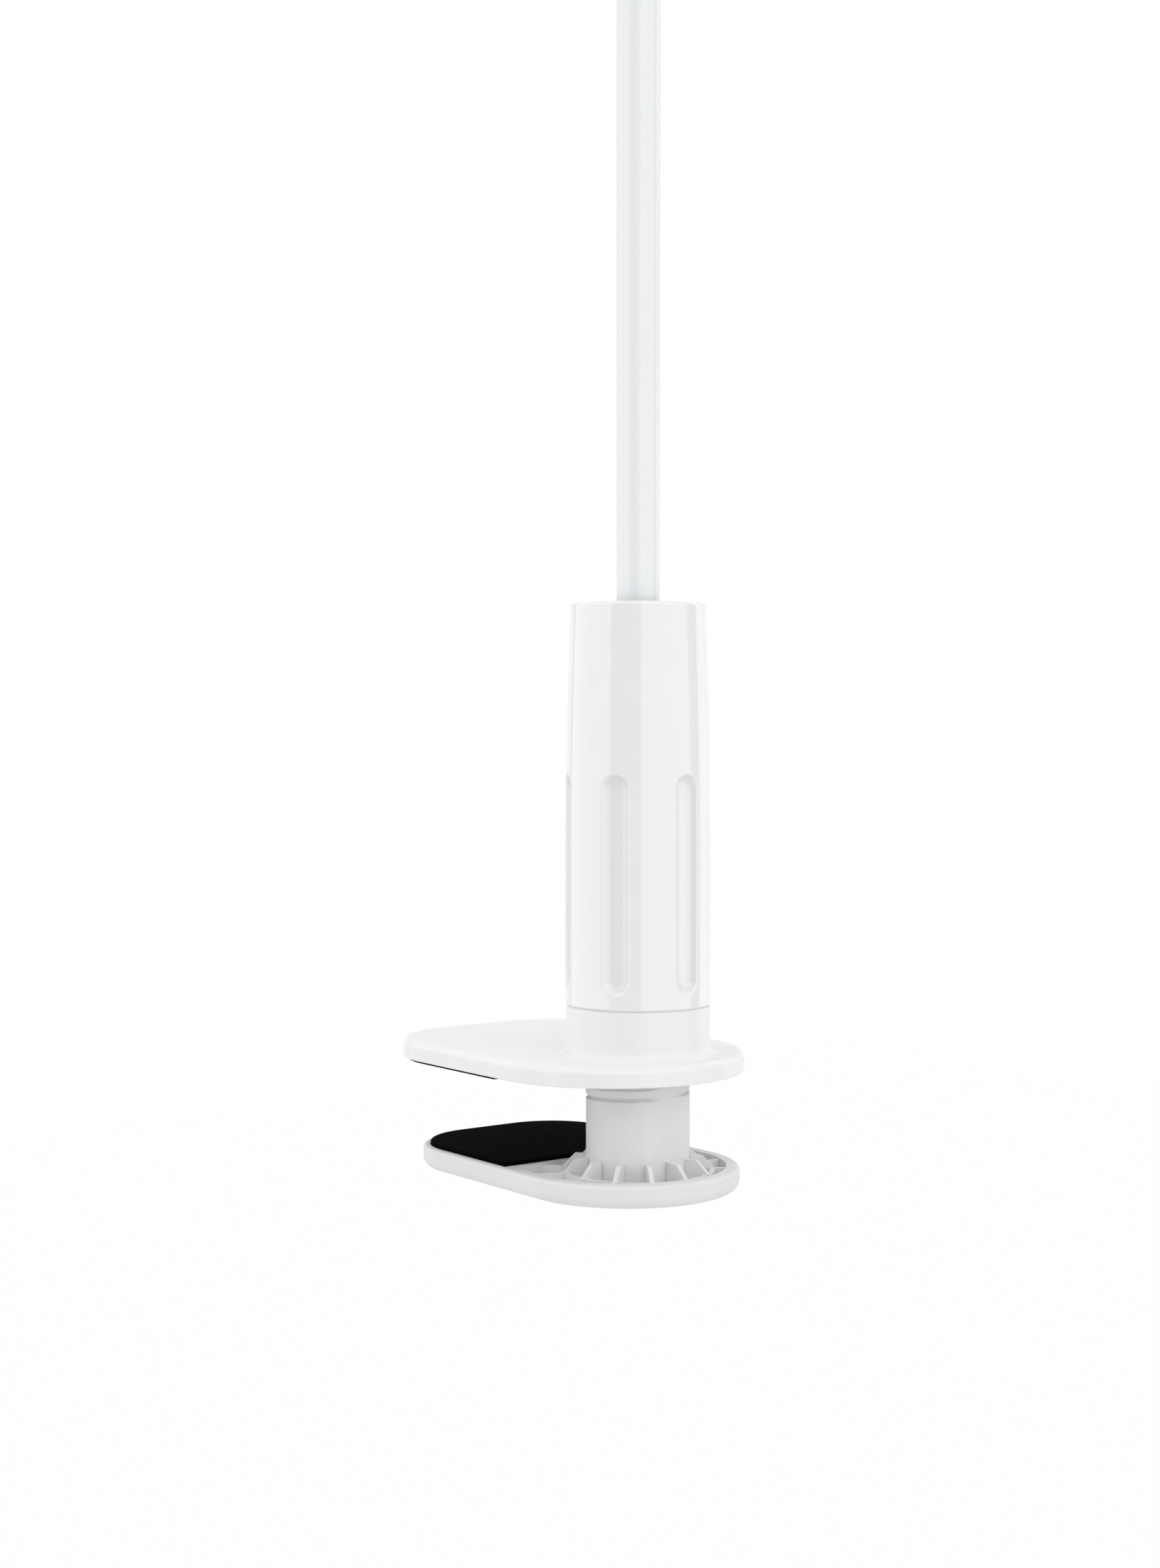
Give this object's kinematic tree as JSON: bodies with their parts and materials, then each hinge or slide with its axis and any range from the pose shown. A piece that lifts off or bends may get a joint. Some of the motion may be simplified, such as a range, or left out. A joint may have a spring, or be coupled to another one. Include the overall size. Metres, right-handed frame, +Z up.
{
  "type": "swing arm desk lamp",
  "caption": "Clamp-on desk lamp: twist-grip screw clamp with a ribbed lower jaw, swinging pole, level arm and tilting light bar.",
  "frame": {"origin": "middle of the upper jaw's pad face, on the plane of the desk top; the pole axis is 49 mm towards +X", "axes": "+Z up along the pole, +X off the desk towards the clamp's round end, +Y along the desk edge"},
  "size_m": [0.4055, 0.2972, 0.5248],
  "materials": {
    "gloss_white": "polished moulding",
    "satin_white": "satin moulding",
    "pad_black": "matt",
    "tube_silver": "fine satin",
    "hub_white": "polished moulding",
    "bearing_grey": "smooth",
    "steel": "plated",
    "insert_brass": "machined",
    "head_white": "fine satin paint",
    "cap_white": "satin moulding",
    "board_white": "solder mask",
    "led_yellow": "phosphor",
    "component_black": "moulded",
    "diffuser_opal": "opal"
  },
  "bodies": {
    "clamp": {"upper_jaw": "gloss_white", "upper_pad": "pad_black", "thrust_washer": "satin_white"},
    "jaw": {"lower_jaw": "satin_white", "lower_pad": "pad_black", "clamp_screw": "satin_white", "foot_plate": "satin_white", "foot_screws": "steel"},
    "grip": {"grip_sleeve": "gloss_white", "clamp_nut": "bearing_grey", "pole_carrier": "gloss_white", "upper_bush": "bearing_grey", "lower_bush": "bearing_grey"},
    "pole": {"pole_foot": "bearing_grey", "pole_tube": "tube_silver", "pole_hub": "hub_white", "elbow_bolt": "steel", "bolt_cap": "hub_white", "elbow_washer": "bearing_grey"},
    "knob": {"elbow_knob": "hub_white", "knob_insert": "insert_brass"},
    "arm": {"arm_hub": "hub_white", "arm_tube": "tube_silver", "arm_ferrule": "hub_white", "tip_bush": "bearing_grey"},
    "bracket": {"tip_bracket": "head_white", "roll_clip": "steel"},
    "head": {"head_lugs": "head_white", "lug_screws": "steel", "tilt_washers": "bearing_grey", "tilt_pin": "steel", "pin_clip": "steel", "head_shell": "head_white", "led_board": "board_white", "led_chips": "led_yellow", "diffuser": "diffuser_opal", "driver_block": "component_black", "push_switch": "component_black", "power_inlet": "steel", "back_cap": "cap_white", "front_cap": "cap_white"},
    "button": {"switch_button": "cap_white"}
  },
  "joints": [
    {"name": "grip_turn", "type": "hinge", "parent": "clamp", "child": "grip", "pos_m": [0.049, 0, 0.0205], "axis": [0, 0, 1], "range_deg": [-1440, 3600]},
    {"name": "jaw_slide", "type": "slide", "parent": "clamp", "child": "jaw", "axis": [0, 0, -1], "range_m": [-0.012, 0.03]},
    {"name": "pole_swing", "type": "hinge", "parent": "grip", "child": "pole", "pos_m": [0.049, 0, 0.098], "axis": [0, 0, 1], "continuous": true},
    {"name": "elbow", "type": "hinge", "parent": "pole", "child": "arm", "pos_m": [0.049, 0, 0.48], "axis": [0, 1, 0], "range_deg": [-40, 85]},
    {"name": "knob_turn", "type": "hinge", "parent": "pole", "child": "knob", "pos_m": [0.049, 0.036, 0.48], "axis": [0, 1, 0], "range_deg": [0, 720]},
    {"name": "head_roll", "type": "hinge", "parent": "arm", "child": "bracket", "pos_m": [-0.291, 0.0195, 0.48], "axis": [1, 0, 0], "range_deg": [-90, 90]},
    {"name": "head_tilt", "type": "hinge", "parent": "bracket", "child": "head", "pos_m": [-0.315, 0.0195, 0.48], "axis": [0, 1, 0], "range_deg": [-35, 80]},
    {"name": "switch_push", "type": "slide", "parent": "head", "child": "button", "axis": [0, -1, 0], "range_m": [0, 0.0006], "stiffness_N_per_m": 800, "springref_m": -0.0005}
  ],
  "couplings": [
    {"joint": "grip_turn", "follows": "jaw_slide", "rad_per_m": 2094.4}
  ]
}
